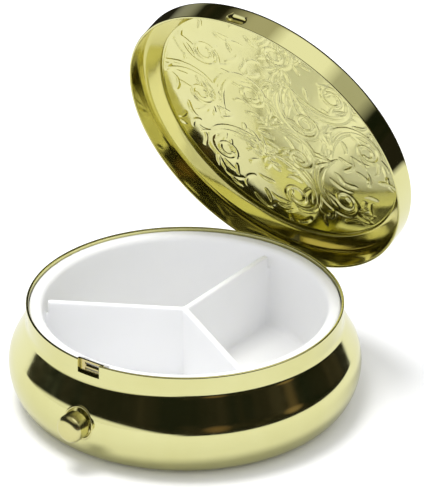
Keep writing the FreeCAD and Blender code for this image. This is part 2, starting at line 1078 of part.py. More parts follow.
for thing in doc.Objects:
    if "Invalid" in thing.State or "Error" in thing.State:
        raise RuntimeError(f"{thing.Name} failed: {thing.State}")
for piece in pieces:
    if piece.Shape.isNull() or not piece.Shape.isValid():
        raise RuntimeError(f"{piece.Label} has no valid shape")
    if not piece.Shape.Solids:
        raise RuntimeError(f"{piece.Label} has no solid")

os.makedirs("parts", exist_ok=True)
for piece in pieces:
    piece.Shape.exportStep(f"parts/{piece.Label}.step")
    print(f"{piece.Label}: {piece.Shape.Volume:.2f} mm3, {len(piece.Shape.Solids)} solid(s)")
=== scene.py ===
import bpy
import bmesh
import math
import random
import numpy as np
from mathutils import Matrix, Vector


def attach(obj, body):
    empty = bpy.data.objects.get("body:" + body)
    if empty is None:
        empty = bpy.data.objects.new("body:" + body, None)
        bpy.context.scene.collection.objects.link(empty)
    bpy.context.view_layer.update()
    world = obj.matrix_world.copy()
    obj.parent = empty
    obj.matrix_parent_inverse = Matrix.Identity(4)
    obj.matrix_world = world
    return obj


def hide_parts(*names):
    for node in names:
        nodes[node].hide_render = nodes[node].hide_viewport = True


# A round gilt pill box, open, on a pale floor. Lengths below are in millimetres in the CAD's frame
# (Z up, hinge at +Y, button at -Y) and become metres when a mesh is made.
MM = 0.001

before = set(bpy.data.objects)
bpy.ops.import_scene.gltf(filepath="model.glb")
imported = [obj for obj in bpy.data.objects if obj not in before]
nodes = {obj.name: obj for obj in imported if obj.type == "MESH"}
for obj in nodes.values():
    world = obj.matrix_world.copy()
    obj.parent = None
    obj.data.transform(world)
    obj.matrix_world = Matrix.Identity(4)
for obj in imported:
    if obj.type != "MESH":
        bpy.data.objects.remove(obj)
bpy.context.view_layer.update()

# ------------------------------------------------------------------ sizes

SHEET = 0.4
FOOT_RADIUS = 20.38
FOOT_ROUND = 4.03
BELLY_RADIUS = 25.05
BELLY_HEIGHT = 6.13
BELLY_ROUND = 6.03
SHOULDER_SLOPE = math.radians(28.2)
THROAT_ROUND = 2.04
NECK_RADIUS = 22.5
NECK_TOP = 15.3
WINDOW_HALF = 1.85
WINDOW_BOTTOM = 13.28
SLOT_HALF = 4.9
SLOT_BOTTOM = 9.0
SLOT_TOP = 12.0
BUTTON_HEIGHT = 6.75
BUTTON_HOLE = 2.4
BUTTON_RADIUS = 2.05
BUTTON_FLAT = 0.75
BUTTON_REACH = 27.75
BUTTON_SEAT = 25.0
STEM_RADIUS = 1.2
STEM_END = 21.93
COLLAR_RADIUS = 2.55
COLLAR_BORE = 2.2
COLLAR_PROUD = 0.1
COLLAR_BACK = 23.6
COLLAR_WEB = 23.9

FLANGE_RADIUS = 22.05
FLANGE_TOP = 14.85
FLANGE_THICK = 0.9
WELL_RADIUS = 20.15
WELL_DEEP = 19.2
WELL_FLOOR = 3.2
TRAY_BOTTOM = 2.2
TRAY_WALL = 0.55
DIVIDER_TOP = 14.1
DIVIDER_THICK = 0.9
RELIEF_HALF = 2.6
RELIEF_REACH = 20.73

LID_RADIUS = 23.1
LID_SHEET = 0.35
RIM_HEIGHT = 12.8
BEZEL_ROUND = 0.65
BEZEL_LIP = 20.45
LEDGE_OUTER = 22.4
LEDGE_INNER = 20.2
LEDGE_HEIGHT = 15.45
LEDGE_SLOPE = 0.5625
RING_THICK = 0.34
PANEL_RADIUS = 21.9
PANEL_BEND = 20.15
FIELD_RADIUS = 20.0
FIELD_HEIGHT = 17.05
DOME_RISE = 0.35
NOTCH_HALF = 1.92
NOTCH_TOP = 15.32
CATCH_HEIGHT = 13.92
CATCH_HALF = 0.9
CATCH_ROUND = 0.68
CATCH_DEEP = 0.62
# how much of the wall round the catch is finely divided, and the steps of fine parts, in radians
CATCH_SPAN = 0.085
CATCH_STEP = 0.0035
HINGE_STEP = 0.02
HOLE_STEP = 0.006
HINGE_BACK = 23.0
HINGE_HEIGHT = 9.55
OPEN_ANGLE = math.radians(71)

# the ways from the axis to the button and to the hinge
FRONT = math.pi * 1.5
BACK = math.pi * 0.5

# ------------------------------------------------------------------ camera

AZIMUTH = math.radians(36.32)
ELEVATION = math.radians(27.87)
DISTANCE = 719.4
TARGET_RIGHT = 3.81
TARGET_UP = 7.92
LENS = 375.9


def make_camera():
    data = bpy.data.cameras.new("camera")
    data.lens = LENS
    data.sensor_width = 36
    data.clip_start = 0.05
    data.clip_end = 60
    camera = bpy.data.objects.new("camera", data)
    bpy.context.scene.collection.objects.link(camera)
    sin_a, cos_a = math.sin(AZIMUTH), math.cos(AZIMUTH)
    sin_e, cos_e = math.sin(ELEVATION), math.cos(ELEVATION)
    back = Vector((sin_a * cos_e, -cos_a * cos_e, sin_e))
    right = Vector((cos_a, sin_a, 0))
    up = back.cross(right)
    target = Vector((0, 0, NECK_TOP)) + right * TARGET_RIGHT + up * TARGET_UP
    place = (target + back * DISTANCE) * MM
    turn = Matrix((right, up, back)).transposed().to_4x4()
    camera.matrix_world = Matrix.Translation(place) @ turn
    bpy.context.scene.camera = camera


make_camera()

# ------------------------------------------------------------------ mesh helpers


def mesh_piece(name, points, faces, sharp=40.0, merge=True):
    """A smooth-shaded mesh from millimetre points; edges over so many degrees stay sharp."""
    mesh = bpy.data.meshes.new(name)
    mesh.from_pydata([Vector(p) * MM for p in points], [], faces)
    work = bmesh.new()
    work.from_mesh(mesh)
    if merge:
        bmesh.ops.remove_doubles(work, verts=work.verts, dist=1e-7)
        bmesh.ops.dissolve_degenerate(work, edges=work.edges, dist=1e-8)
    bmesh.ops.recalc_face_normals(work, faces=work.faces)
    limit = math.radians(sharp)
    for face in work.faces:
        face.smooth = True
    for edge in work.edges:
        if len(edge.link_faces) == 2:
            edge.smooth = edge.calc_face_angle(0) < limit
    work.to_mesh(mesh)
    work.free()
    piece = bpy.data.objects.new(name, mesh)
    bpy.context.scene.collection.objects.link(piece)
    return piece


def angles_round(count, fine=()):
    """Angles round a circle, anticlockwise from +X, with more between each (low, high, step)."""
    found = set(round(2 * math.pi * n / count, 6) for n in range(count))
    for low, high, step in fine:
        found = set(a for a in found if not low - 1e-6 < a < high + 1e-6)
        steps = max(1, round((high - low) / step))
        found |= set(round(low + (high - low) * n / steps, 6) for n in range(steps + 1))
    return sorted(found)


def shell(name, outer, inner, angles, gone=None, push=None, sharp=40.0):
    """A turned sheet: outer and inner are matching lists of (radius, height).

    gone(angle, height) says where the sheet is cut away, and push(angle, height) is how far both
    of its faces move inwards there.
    """
    rows = len(outer)
    columns = len(angles)
    points = []
    for side in (outer, inner):
        for radius, height in side:
            for angle in angles:
                reach = radius - (push(angle, height) if push else 0)
                points.append((reach * math.cos(angle), reach * math.sin(angle), height))
    gap = rows * columns

    def vertex(side, row, column):
        return side * gap + row * columns + column % columns

    def present(row, column):
        if row < 0 or row >= rows - 1:
            return False
        if gone is None:
            return True
        low, high = angles[column % columns], angles[(column + 1) % columns]
        middle = (low + high) / 2 if high > low else low / 2 + high / 2 + math.pi
        height = (outer[row][1] + outer[row + 1][1]) / 2
        return not gone(middle, height)

    faces = []
    for row in range(rows - 1):
        for column in range(columns):
            if not present(row, column):
                continue
            after = column + 1
            faces.append([vertex(0, row, column), vertex(0, row, after), vertex(0, row + 1, after),
                          vertex(0, row + 1, column)])
            faces.append([vertex(1, row, column), vertex(1, row + 1, column),
                          vertex(1, row + 1, after), vertex(1, row, after)])
            for line, row_next in ((row, row - 1), (row + 1, row + 1)):
                if not present(row_next, column):
                    faces.append([vertex(0, line, column), vertex(0, line, after),
                                  vertex(1, line, after), vertex(1, line, column)])
            for line, column_next in ((column, column - 1), (after, after)):
                if not present(row, column_next):
                    faces.append([vertex(0, row, line), vertex(0, row + 1, line),
                                  vertex(1, row + 1, line), vertex(1, row, line)])
    return mesh_piece(name, points, faces, sharp)


def arc(centre, radius, start, stop, steps):
    found = []
    for n in range(steps + 1):
        angle = start + (stop - start) * n / steps
        found.append((centre[0] + radius * math.cos(angle), centre[1] + radius * math.sin(angle)))
    return found


def line(start, stop, steps):
    over = stop[0] - start[0]
    up = stop[1] - start[1]
    return [(start[0] + over * (n / steps), start[1] + up * (n / steps)) for n in range(steps + 1)]


def joined(*runs):
    """Runs end to end, with each shared point kept once."""
    found = list(runs[0])
    for run in runs[1:]:
        first = run[0]
        near = math.hypot(first[0] - found[-1][0], first[1] - found[-1][1]) < 1e-6
        found.extend(run[1:] if near else run)
    return found


def cap(outer_end, inner_end, steps=6):
    """The two halves of a rounded edge that closes a sheet: one list for each side."""
    middle = ((outer_end[0] + inner_end[0]) / 2, (outer_end[1] + inner_end[1]) / 2)
    reach = (outer_end[0] - middle[0], outer_end[1] - middle[1])
    ahead = (-reach[1], reach[0])
    outside = []
    inside = []
    for n in range(1, steps + 1):
        turn = math.pi / 2 * n / steps
        side, forward = math.cos(turn), math.sin(turn)
        outside.append((middle[0] + reach[0] * side + ahead[0] * forward,
                        middle[1] + reach[1] * side + ahead[1] * forward))
        inside.append((middle[0] - reach[0] * side + ahead[0] * forward,
                       middle[1] - reach[1] * side + ahead[1] * forward))
    return outside, inside


def flip_cap(outer_end, inner_end, steps=6):
    """The rounded edge at the start of a sheet, running up to it."""
    inside, outside = cap(inner_end, outer_end, steps)
    return outside[::-1], inside[::-1]


def open_lid(piece):
    """Swing a lid piece from shut, as its mesh is made, to the open stop."""
    hinge = Vector((0, HINGE_BACK, HINGE_HEIGHT)) * MM
    turn = Matrix.Rotation(-OPEN_ANGLE, 4, "X")
    piece.data.transform(Matrix.Translation(hinge) @ turn @ Matrix.Translation(-hinge))
    piece.data.update()


# ------------------------------------------------------------------ materials


def new_material(name):
    material = bpy.data.materials.new(name)
    material.use_nodes = True
    tree = material.node_tree
    shader = tree.nodes["Principled BSDF"]
    place = tree.nodes.new("ShaderNodeTexCoord")
    return material, tree, shader, place.outputs["Object"]


def noise(tree, place, scale, detail=3.0, rough=0.5, stretch=None):
    source = place
    if stretch is not None:
        mapping = tree.nodes.new("ShaderNodeMapping")
        mapping.inputs["Scale"].default_value = stretch
        tree.links.new(place, mapping.inputs["Vector"])
        source = mapping.outputs["Vector"]
    node = tree.nodes.new("ShaderNodeTexNoise")
    node.inputs["Scale"].default_value = scale
    node.inputs["Detail"].default_value = detail
    node.inputs["Roughness"].default_value = rough
    tree.links.new(source, node.inputs["Vector"])
    return node.outputs["Fac"]


def ramp(tree, factor, stops):
    node = tree.nodes.new("ShaderNodeValToRGB")
    band = node.color_ramp
    while len(band.elements) < len(stops):
        band.elements.new(0.5)
    for element, (place, colour) in zip(band.elements, stops):
        element.position = place
        element.color = (*colour, 1.0)
    tree.links.new(factor, node.inputs["Fac"])
    return node.outputs["Color"]


def span(tree, factor, low, high, start=0.3, stop=0.7):
    node = tree.nodes.new("ShaderNodeMapRange")
    node.inputs["From Min"].default_value = start
    node.inputs["From Max"].default_value = stop
    node.inputs["To Min"].default_value = low
    node.inputs["To Max"].default_value = high
    tree.links.new(factor, node.inputs["Value"])
    return node.outputs["Result"]


def mixed(tree, factor, first, second):
    """first where the factor is 0 and second where it's 1; each is a socket or a colour."""
    node = tree.nodes.new("ShaderNodeMix")
    node.data_type = "RGBA"
    tree.links.new(factor, node.inputs["Factor"])
    for name, source in (("A", first), ("B", second)):
        if isinstance(source, tuple):
            node.inputs[name].default_value = (*source, 1.0)
        else:
            tree.links.new(source, node.inputs[name])
    return node.outputs["Result"]


def bump(tree, height, strength, distance):
    node = tree.nodes.new("ShaderNodeBump")
    node.inputs["Strength"].default_value = strength
    node.inputs["Distance"].default_value = distance
    tree.links.new(height, node.inputs["Height"])
    return node.outputs["Normal"]


def stored(tree, name):
    """A number that store() has kept on the mesh's points."""
    node = tree.nodes.new("ShaderNodeAttribute")
    node.attribute_name = name
    return node.outputs["Fac"]


def store(piece, name, values):
    kept = piece.data.attributes.new(name, "FLOAT", "POINT")
    kept.data.foreach_set("value", values)


def metal(name, dark, light, rough_low, rough_high, wave=0.0, wave_scale=300.0, grain=0.0,
          inside=0.0):
    """Polished or drawn metal: a slow change of tint, handling marks in the gloss, a faint wave.

    inside is how much duller it is where the mesh's own "inside" is 1; there its colour also turns
    to a deeper, more saturated gold, painted bounce light from the gold faces round it.
    """
    material, tree, shader, place = new_material(name)
    tint = noise(tree, place, 90.0, 4.0)
    colour = ramp(tree, tint, [(0.35, dark), (0.65, light)])
    marks = noise(tree, place, 700.0, 6.0, 0.65)
    gloss = span(tree, marks, rough_low, rough_high)
    if inside:
        # painted bounce light: where "inside" is 1 the tint gives way to a deeper, more saturated
        # gold standing in for light bounced between gold faces
        within = stored(tree, "inside")
        colour = mixed(tree, within, colour, GOLD_PAINTED_BOUNCE)
        more = tree.nodes.new("ShaderNodeMath")
        more.operation = "MULTIPLY_ADD"
        more.inputs[1].default_value = inside
        tree.links.new(within, more.inputs[0])
        tree.links.new(gloss, more.inputs[2])
        gloss = more.outputs["Value"]
    tree.links.new(colour, shader.inputs["Base Color"])
    tree.links.new(gloss, shader.inputs["Roughness"])
    shader.inputs["Metallic"].default_value = 1.0
    if wave:
        surface = noise(tree, place, wave_scale, 2.0, 0.4)
        tree.links.new(bump(tree, surface, 1.0, wave), shader.inputs["Normal"])
    if grain:
        lines = noise(tree, place, 2500.0, 2.0, 0.6, (1.0, 12.0, 12.0))
        tree.links.new(bump(tree, lines, 1.0, grain), shader.inputs["Normal"])
    return material


# a painted bounce-light tint, not the gold's own colour: deeper, more saturated gold for the lid's
# inner wall and inner ring, where light bounces between gold faces
GOLD_PAINTED_BOUNCE = (0.67, 0.62, 0.21)
GOLD_DARK = (0.68, 0.655, 0.3)
GOLD_LIGHT = (0.72, 0.7, 0.345)
# painted shade: the dark colour laid along the lower left flank of each ridge of the relief
RIDGE_SHADE_PAINT = (0.19, 0.145, 0.03)

gold = metal("gold_plate", GOLD_DARK, GOLD_LIGHT, 0.06, 0.11, wave=0.000002)
button_gold = metal("button_gold", (0.64, 0.6, 0.26), (0.68, 0.64, 0.3), 0.16, 0.24)
# the lid's gold, with the painted bounce tint on the inside of its wall
lid_gold = metal("lid_gold", GOLD_DARK, GOLD_LIGHT, 0.03, 0.07, wave=0.000002, inside=0.04)
# the inner ring's gold is painted deeper and more saturated, standing in for light bounced between
# gold faces
ring_gold_painted_bounce = metal("ring_gold_painted_bounce", GOLD_PAINTED_BOUNCE, (0.7, 0.66, 0.25), 0.07, 0.12, wave=0.000003)
brass = metal("latch_brass", (0.55, 0.47, 0.2), (0.62, 0.54, 0.26), 0.12, 0.25, grain=0.000002)
steel = metal("pin_steel", (0.5, 0.5, 0.5), (0.6, 0.59, 0.57), 0.18, 0.3, grain=0.000002)
wire = metal("spring_wire", (0.42, 0.42, 0.43), (0.55, 0.55, 0.55), 0.15, 0.28, grain=0.000001)


def embossed_material():
    material, tree, shader, place = new_material("embossed_gold")
    tint = noise(tree, place, 120.0, 4.0)
    clean = ramp(tree, tint, [(0.35, (0.735, 0.71, 0.33)), (0.65, (0.775, 0.75, 0.375))])
    # painted shade along the lower left flank of each ridge
    shaded_tint = mixed(tree, stored(tree, "ridge_shade"), clean, RIDGE_SHADE_PAINT)
    tree.links.new(shaded_tint, shader.inputs["Base Color"])
    marks = noise(tree, place, 900.0, 5.0, 0.6)
    tree.links.new(span(tree, marks, 0.08, 0.15), shader.inputs["Roughness"])
    shader.inputs["Metallic"].default_value = 1.0
    skin = noise(tree, place, 1500.0, 2.0, 0.5)
    tree.links.new(bump(tree, skin, 1.0, 0.000002), shader.inputs["Normal"])
    return material


def tray_material():
    material, tree, shader, place = new_material("tray_white")
    cloud = noise(tree, place, 60.0, 3.0)
    shade = ramp(tree, cloud, [(0.3, (0.89, 0.895, 0.9)), (0.7, (0.92, 0.92, 0.922))])
    tree.links.new(shade, shader.inputs["Base Color"])
    marks = noise(tree, place, 500.0, 4.0)
    tree.links.new(span(tree, marks, 0.32, 0.45), shader.inputs["Roughness"])
    shader.inputs["Subsurface Weight"].default_value = 0.25
    shader.inputs["Subsurface Radius"].default_value = (1.0, 1.0, 1.1)
    shader.inputs["Subsurface Scale"].default_value = 0.0012
    skin = noise(tree, place, 900.0, 3.0)
    tree.links.new(bump(tree, skin, 1.0, 0.000006), shader.inputs["Normal"])
    return material


embossed = embossed_material()
tray_white = tray_material()


def finish_with(piece, material):
    piece.data.materials.clear()
    piece.data.materials.append(material)


for name, material in (
    ("hinge_body_leaf", brass),
    ("hinge_lid_leaf", gold),
    ("hinge_pin", steel),
    ("hinge_spring", wire),
    ("latch_plate", brass),
    ("latch_bracket", brass),
    ("latch_pin", steel),
    ("latch_spring", wire),
    ("button_retainer", brass),
):
    for slot in nodes[name].material_slots:
        slot.material = material

# ------------------------------------------------------------------ bowl

across = BELLY_RADIUS - FOOT_RADIUS
rise = BELLY_HEIGHT - FOOT_ROUND
LOWER_ROUND = (across ** 2 + rise ** 2 - FOOT_ROUND ** 2) / (2 * (across - FOOT_ROUND))
LOWER_X = BELLY_RADIUS - LOWER_ROUND
LOW_TURN = math.atan2(rise, FOOT_RADIUS - LOWER_X)
BELLY_X = BELLY_RADIUS - BELLY_ROUND
THROAT_X = NECK_RADIUS + THROAT_ROUND
rounds = BELLY_ROUND + THROAT_ROUND
run = BELLY_RADIUS - NECK_RADIUS - rounds * (1 - math.cos(SHOULDER_SLOPE))
THROAT_Z = BELLY_HEIGHT + rounds * math.sin(SHOULDER_SLOPE) + run / math.tan(SHOULDER_SLOPE)


def bowl_side(inset):
    """The bowl's side from the middle of its flat bottom to the top of its neck."""
    neck = NECK_RADIUS - inset
    edge = NECK_TOP - SHEET / 2
    belly = arc((BELLY_X, BELLY_HEIGHT), BELLY_ROUND - inset, 0, SHOULDER_SLOPE, 20)
    throat = arc((THROAT_X, THROAT_Z), THROAT_ROUND + inset, math.pi + SHOULDER_SLOPE, math.pi, 10)
    return joined(
        line((0.001, inset), (FOOT_RADIUS, inset), 10),
        arc((FOOT_RADIUS, FOOT_ROUND), FOOT_ROUND - inset, -math.pi / 2, -LOW_TURN, 12),
        arc((LOWER_X, BELLY_HEIGHT), LOWER_ROUND - inset, -LOW_TURN, 0, 30),
        belly,
        line(belly[-1], throat[0], 20),
        throat,
        line((neck, THROAT_Z), (neck, WINDOW_BOTTOM), 2),
        line((neck, WINDOW_BOTTOM), (neck, edge), 6),
    )


OUTSIDE = bowl_side(0)


def bowl_reach(height):
    """The bowl's outer radius at a height above its foot."""
    return float(np.interp(height, [z for _, z in OUTSIDE[11:]], [x for x, _ in OUTSIDE[11:]]))


def make_bowl():
    window = math.asin(WINDOW_HALF / NECK_RADIUS)
    slot = math.asin(SLOT_HALF / bowl_reach(SLOT_TOP))
    hole = math.asin((BUTTON_HOLE + 0.3) / BELLY_RADIUS)
    turns = angles_round(240, [
        (BACK - slot, BACK + slot, HINGE_STEP),
        (FRONT - hole, FRONT - window, HOLE_STEP),
        (FRONT - window, FRONT + window, HOLE_STEP),
        (FRONT + window, FRONT + hole, HOLE_STEP),
    ])
    tip_out, tip_in = cap(OUTSIDE[-1], bowl_side(SHEET)[-1])

    def gone(angle, height):
        if abs(angle - BACK) < slot and SLOT_BOTTOM - 0.1 < height < SLOT_TOP:
            return True
        if abs(angle - FRONT) < window and height > WINDOW_BOTTOM:
            return True
        over = math.sin(angle - FRONT) * bowl_reach(height)
        away = math.hypot(over, height - BUTTON_HEIGHT)
        return away < BUTTON_HOLE and height > 1 and math.sin(angle) < 0

    piece = shell("bowl", OUTSIDE + tip_out, bowl_side(SHEET) + tip_in, turns, gone, sharp=30.0)
    finish_with(piece, gold)
    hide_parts("base_bowl")
    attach(piece, "base")


make_bowl()

# ------------------------------------------------------------------ button


def around_button(name, rings, columns=72, sharp=35.0):
    """A closed solid turned about the button's axis; rings are (radius, function for its reach)."""
    points = []
    for radius, reach_at in rings:
        for n in range(columns):
            turn = 2 * math.pi * n / columns
            x = radius * math.cos(turn)
            z = BUTTON_HEIGHT + radius * math.sin(turn)
            points.append((x, -reach_at(x, z), z))
    faces = []
    for row in range(len(rings) - 1):
        for n in range(columns):
            m = (n + 1) % columns
            a = row * columns
            b = a + columns
            faces.append([a + n, b + n, b + m, a + m])
    return mesh_piece(name, points, faces, sharp)


def flat_at(reach):
    return lambda x, z: reach


def make_button():
    dome = 0.95
    crown = 0.06
    edge = 0.1
    # the stem's tip is a low dome, so that it clears the tilted latch plate
    rings = [(0.0, flat_at(STEM_END + 0.01)), (0.5, flat_at(STEM_END + 0.06)),
             (STEM_RADIUS, flat_at(STEM_END + 0.28)),
             (STEM_RADIUS, flat_at(BUTTON_SEAT)), (BUTTON_RADIUS - edge, flat_at(BUTTON_SEAT)),
             (BUTTON_RADIUS, flat_at(BUTTON_SEAT + edge))]
    for n in range(11):
        turn = math.pi / 2 * n / 10
        radius = BUTTON_FLAT + (BUTTON_RADIUS - BUTTON_FLAT) * math.cos(turn)
        rings.append((radius, flat_at(BUTTON_REACH - crown - dome * (1 - math.sin(turn)))))
    for part in (0.8, 0.6, 0.4, 0.2, 0.0):
        rings.append((BUTTON_FLAT * part, flat_at(BUTTON_REACH - crown * part ** 2)))
    piece = around_button("button", rings)
    finish_with(piece, button_gold)
    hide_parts("push_button")
    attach(piece, "button")


def skin_at(proud):
    """The reach of the bowl's surface, so far outside it."""
    def reach(x, z):
        radius = bowl_reach(z) + proud
        return math.sqrt(radius ** 2 - x ** 2)
    return reach


def make_collar():
    slip = 0.05
    sunk = 0.04
    guide = STEM_RADIUS + slip
    middle = (COLLAR_BORE + COLLAR_RADIUS) / 2
    half = (COLLAR_RADIUS - COLLAR_BORE) / 2
    rings = [(guide, flat_at(COLLAR_WEB)), (COLLAR_BORE, flat_at(COLLAR_WEB))]
    for n in range(9):
        turn = math.pi * n / 8
        lift = COLLAR_PROUD * math.sin(turn) - sunk
        rings.append((middle - half * math.cos(turn), skin_at(lift)))
    rings.append((COLLAR_RADIUS, flat_at(COLLAR_BACK)))
    rings.append((guide, flat_at(COLLAR_BACK)))
    rings.append(rings[0])
    piece = around_button("collar", rings)
    finish_with(piece, button_gold)
    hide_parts("button_collar")
    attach(piece, "base")


make_button()
make_collar()

# ------------------------------------------------------------------ lid


def ledge_at(radius, above):
    return LEDGE_HEIGHT + (LEDGE_OUTER - radius) * LEDGE_SLOPE + above


def make_bezel():
    inner = LID_RADIUS - LID_SHEET
    tilt = math.pi / 2 - math.atan(LEDGE_SLOPE)
    seam = 0.04
    hem = 0.12
    lip_low = RING_THICK * 2 + seam
    lip_high = lip_low + LID_SHEET
    turn_x = LID_RADIUS - BEZEL_ROUND
    high_x = turn_x + BEZEL_ROUND * math.cos(tilt)
    turn_z = ledge_at(high_x, lip_high) - BEZEL_ROUND * math.sin(tilt)
    bend = (turn_x, turn_z)
    bottom = RIM_HEIGHT + LID_SHEET / 2
    rim_out, rim_in = flip_cap((LID_RADIUS, bottom), (inner, bottom))
    levels = [bottom + 0.09 * n for n in range(18)] + [14.7, 15.0, NOTCH_TOP, turn_z]
    outer = rim_out + [(LID_RADIUS, z) for z in levels]
    inside = rim_in + [(inner, z) for z in levels]
    outer = joined(outer, arc(bend, BEZEL_ROUND, 0, tilt, 8))
    inside = joined(inside, arc(bend, BEZEL_ROUND - LID_SHEET, 0, tilt, 8))
    lip_top = (BEZEL_LIP + hem, ledge_at(BEZEL_LIP + hem, lip_high))
    normal = (math.cos(tilt), math.sin(tilt))
    thick = LID_SHEET * normal[1]
    lip_under = (lip_top[0] - thick * normal[0], lip_top[1] - thick * normal[1])
    outer = joined(outer, line(outer[-1], lip_top, 4))
    inside = joined(inside, line(inside[-1], lip_under, 4))
    tip_out, tip_in = cap(lip_top, lip_under)
    outer += tip_out
    inside += tip_in
    half = math.asin(NOTCH_HALF / LID_RADIUS)
    turns = angles_round(240, [
        (BACK - half, BACK + half, HINGE_STEP),
        (FRONT - CATCH_SPAN, FRONT + CATCH_SPAN, CATCH_STEP),
    ])

    def gone(angle, height):
        return abs(angle - BACK) < half and height < NOTCH_TOP

    def push(angle, height):
        """The catch: an oval dimple pressed into the front of the wall."""
        over = max(0, abs(angle - FRONT) * LID_RADIUS - CATCH_HALF)
        off = math.hypot(over, height - CATCH_HEIGHT) / CATCH_ROUND
        if off >= 1:
            return 0
        return CATCH_DEEP * (1 - off ** 2) ** 0.75

    piece = shell("bezel", outer, inside, turns, gone, push)
    # where the inner wall is: there the lid's gold turns rougher and takes the painted bounce tint
    values = []
    for vertex in piece.data.vertices:
        x, y, z = vertex.co / MM
        reach = math.hypot(x, y)
        under = z < ledge_at(reach, lip_low + LID_SHEET / 2)
        values.append(1.0 if reach < inner + 0.1 and under else 0.0)
    store(piece, "inside", values)
    open_lid(piece)
    finish_with(piece, lid_gold)
    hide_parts("lid_bezel")
    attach(piece, "lid")


def make_inner_ring():
    hem = 0.15
    wall = LID_RADIUS - LID_SHEET - 0.01
    thick = RING_THICK * 0.87
    start = (wall, LEDGE_HEIGHT)
    knee = (LEDGE_OUTER, LEDGE_HEIGHT)
    under = [start, ((start[0] + knee[0]) / 2, LEDGE_HEIGHT), knee]
    low_end = (LEDGE_INNER + hem, ledge_at(LEDGE_INNER + hem, 0))
    under = joined(under, line(knee, low_end, 4))
    over = [(x, z + (RING_THICK if n > 1 else thick)) for n, (x, z) in enumerate(under[:-1])]
    tilt = math.atan(LEDGE_SLOPE)
    top_end = (low_end[0] + thick * math.sin(tilt), low_end[1] + thick * math.cos(tilt))
    over.append(top_end)
    tip_in, tip_out = cap(low_end, top_end)
    tip_over, tip_under = cap(top_end, low_end)
    piece = shell("inner_ring", over + tip_over, under + tip_under, angles_round(240))
    open_lid(piece)
    finish_with(piece, ring_gold_painted_bounce)
    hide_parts("lid_inner_ring")
    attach(piece, "lid")


make_bezel()
make_inner_ring()

# ------------------------------------------------------------------ embossed panel

RELIEF_DEEP = 0.15
CELLS = 260


def disc_grid(cells, radius):
    """A square grid laid evenly over a disc, so that its cells are all about one size."""
    steps = np.linspace(-1, 1, cells + 1)
    across_grid, up_grid = np.meshgrid(steps, steps, indexing="ij")
    big = np.where(np.abs(across_grid) > np.abs(up_grid), across_grid, up_grid)
    small = np.where(np.abs(across_grid) > np.abs(up_grid), up_grid, across_grid)
    safe = np.where(np.abs(big) < 1e-9, 1.0, big)
    turn = np.pi / 4 * small / safe
    along = big * np.cos(turn)
    aside = big * np.sin(turn)
    x = np.where(np.abs(across_grid) > np.abs(up_grid), along, aside)
    y = np.where(np.abs(across_grid) > np.abs(up_grid), aside, along)
    return x * radius, y * radius


def path(x, y, start, length, curl_start, curl_end, steps=40, ease=1.6):
    """A curve from a point, whose turn in degrees for each millimetre goes from start to end."""
    part = np.linspace(0, 1, steps)
    curl = curl_start + (curl_end - curl_start) * part ** ease
    step = length / (steps - 1)
    turn = np.radians(start) + np.cumsum(np.radians(curl)) * step
    xs = x + np.concatenate([[0], np.cumsum(np.cos(turn[:-1]) * step)])
    ys = y + np.concatenate([[0], np.cumsum(np.sin(turn[:-1]) * step)])
    return xs, ys, np.degrees(turn)


def leaf_width(steps, wide):
    part = np.linspace(0, 1, steps)
    return wide * np.sin(np.pi * part ** 0.62) ** 0.8 + 0.05


def emboss(height, x, y, xs, ys, widths, deep):
    """Raise a rounded ridge along a curve wherever it stands higher than what is there."""
    reach = widths.max() + 0.3
    near = (x > xs.min() - reach) & (x < xs.max() + reach)
    near &= (y > ys.min() - reach) & (y < ys.max() + reach)
    spots = np.nonzero(near)
    px, py = x[spots], y[spots]
    best = np.zeros(len(px))
    for n in range(len(xs) - 1):
        dx, dy = xs[n + 1] - xs[n], ys[n + 1] - ys[n]
        size = dx * dx + dy * dy
        if size < 1e-12:
            continue
        part = np.clip(((px - xs[n]) * dx + (py - ys[n]) * dy) / size, 0, 1)
        away = np.hypot(px - xs[n] - part * dx, py - ys[n] - part * dy)
        wide = widths[n] + (widths[n + 1] - widths[n]) * part
        inside = np.clip(1 - (away / wide) ** 2, 0, 1)
        best = np.maximum(best, inside ** 1.15 * np.minimum(wide / 0.4, 1.0))
    height[spots] = np.maximum(height[spots], best * deep)


# each scroll: the middle of its spiral, which way its stem runs, its hand, its size and its leaves,
# measured on the open lid seen from the front, in millimetres and degrees
SCROLLS = [
    (-10.0, 11.0, 200, 1, 1.35, 3),
    (1.0, 14.0, 20, -1, 1.15, 3),
    (10.0, 9.5, 300, 1, 1.3, 3),
    (14.5, -1.0, 80, -1, 1.15, 3),
    (9.5, -11.0, 215, 1, 1.25, 3),
    (-1.0, -13.5, 350, -1, 1.25, 3),
    (-10.5, -9.5, 130, 1, 1.2, 3),
    (-14.5, 1.0, 40, -1, 1.15, 3),
    (-4.5, 3.0, 100, -1, 1.2, 3),
    (5.0, 2.5, 230, 1, 1.2, 3),
    (1.0, -6.0, 20, -1, 1.1, 3),
]
LEAF_WIDE = 0.34
# the small curls that fill the ground: how many, how far out, and the turn from each to the next
CURLS = 170
CURL_REACH = 19.0
CURL_TURN = 2.39996
RELIEF_EDGE = 19.9
RELIEF_FADE = 0.4


